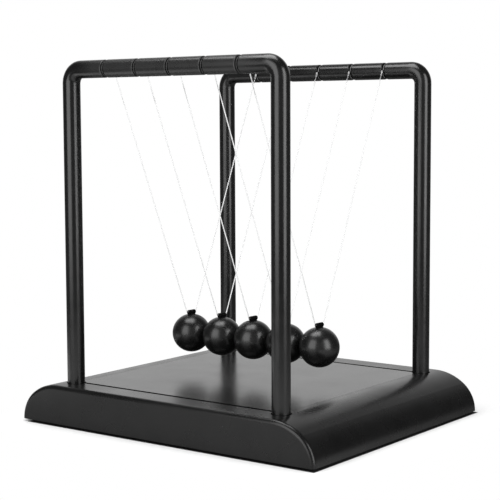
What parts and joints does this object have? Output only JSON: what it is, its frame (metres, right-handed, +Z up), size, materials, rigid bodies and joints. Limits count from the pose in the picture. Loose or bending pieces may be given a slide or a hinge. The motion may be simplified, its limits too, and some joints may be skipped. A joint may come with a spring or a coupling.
{
  "type": "newton's cradle",
  "caption": "Desk cradle: a row of black balls hung on V lines between two grooved U frames on a low base with rounded ends; an end ball drawn out swings back and drives out the far one.",
  "frame": {"origin": "on the table, midway between the four feet", "axes": "+X along the row of balls to the right, +Y from the front frame to the rear frame, +Z up"},
  "size_m": [0.178, 0.15, 0.1804],
  "materials": {
    "base_plastic": "satin gloss moulded plastic",
    "panel_plastic": "satin gloss sheet",
    "cover_plastic": "matte moulded plastic",
    "frame_plastic": "satin gloss moulded rod",
    "ball_coat": "satin black coat on steel",
    "hanger_plastic": "matte moulded plastic",
    "line_nylon": "clear drawn nylon",
    "foot_rubber": "matte rubber",
    "steel": "zinc-plated steel"
  },
  "bodies": {
    "stand": {"base_shell": "base_plastic", "top_panel": "panel_plastic", "bottom_cover": "cover_plastic", "front_left_foot": "foot_rubber", "front_right_foot": "foot_rubber", "rear_left_foot": "foot_rubber", "rear_right_foot": "foot_rubber", "post_screws": "steel", "post_washers": "steel", "cover_screws": "steel", "front_frame": "frame_plastic", "rear_frame": "frame_plastic", "front_loop_1": "line_nylon", "front_loop_2": "line_nylon", "front_loop_3": "line_nylon", "front_loop_4": "line_nylon", "front_loop_5": "line_nylon", "rear_loop_1": "line_nylon", "rear_loop_2": "line_nylon", "rear_loop_3": "line_nylon", "rear_loop_4": "line_nylon", "rear_loop_5": "line_nylon"},
    "pendulum_1": {"ball_1": "ball_coat", "hanger_1": "hanger_plastic", "line_1": "line_nylon"},
    "pendulum_2": {"ball_2": "ball_coat", "hanger_2": "hanger_plastic", "line_2": "line_nylon"},
    "pendulum_3": {"ball_3": "ball_coat", "hanger_3": "hanger_plastic", "line_3": "line_nylon"},
    "pendulum_4": {"ball_4": "ball_coat", "hanger_4": "hanger_plastic", "line_4": "line_nylon"},
    "pendulum_5": {"ball_5": "ball_coat", "hanger_5": "hanger_plastic", "line_5": "line_nylon"}
  },
  "joints": [
    {"name": "ball_1_swing", "type": "hinge", "parent": "stand", "child": "pendulum_1", "pos_m": [-0.0392, 0, 0.176], "axis": [0, -1, 0], "range_deg": [-80, 0]},
    {"name": "ball_2_swing", "type": "hinge", "parent": "stand", "child": "pendulum_2", "pos_m": [-0.019, 0, 0.176], "axis": [0, -1, 0], "range_deg": [-0.03, 0.03]},
    {"name": "ball_3_swing", "type": "hinge", "parent": "stand", "child": "pendulum_3", "pos_m": [0.0012, 0, 0.176], "axis": [0, -1, 0], "range_deg": [-0.03, 0.03]},
    {"name": "ball_4_swing", "type": "hinge", "parent": "stand", "child": "pendulum_4", "pos_m": [0.0214, 0, 0.176], "axis": [0, -1, 0], "range_deg": [-0.03, 0.03]},
    {"name": "ball_5_swing", "type": "hinge", "parent": "stand", "child": "pendulum_5", "pos_m": [0.0416, 0, 0.176], "axis": [0, -1, 0], "range_deg": [0, 80]}
  ]
}
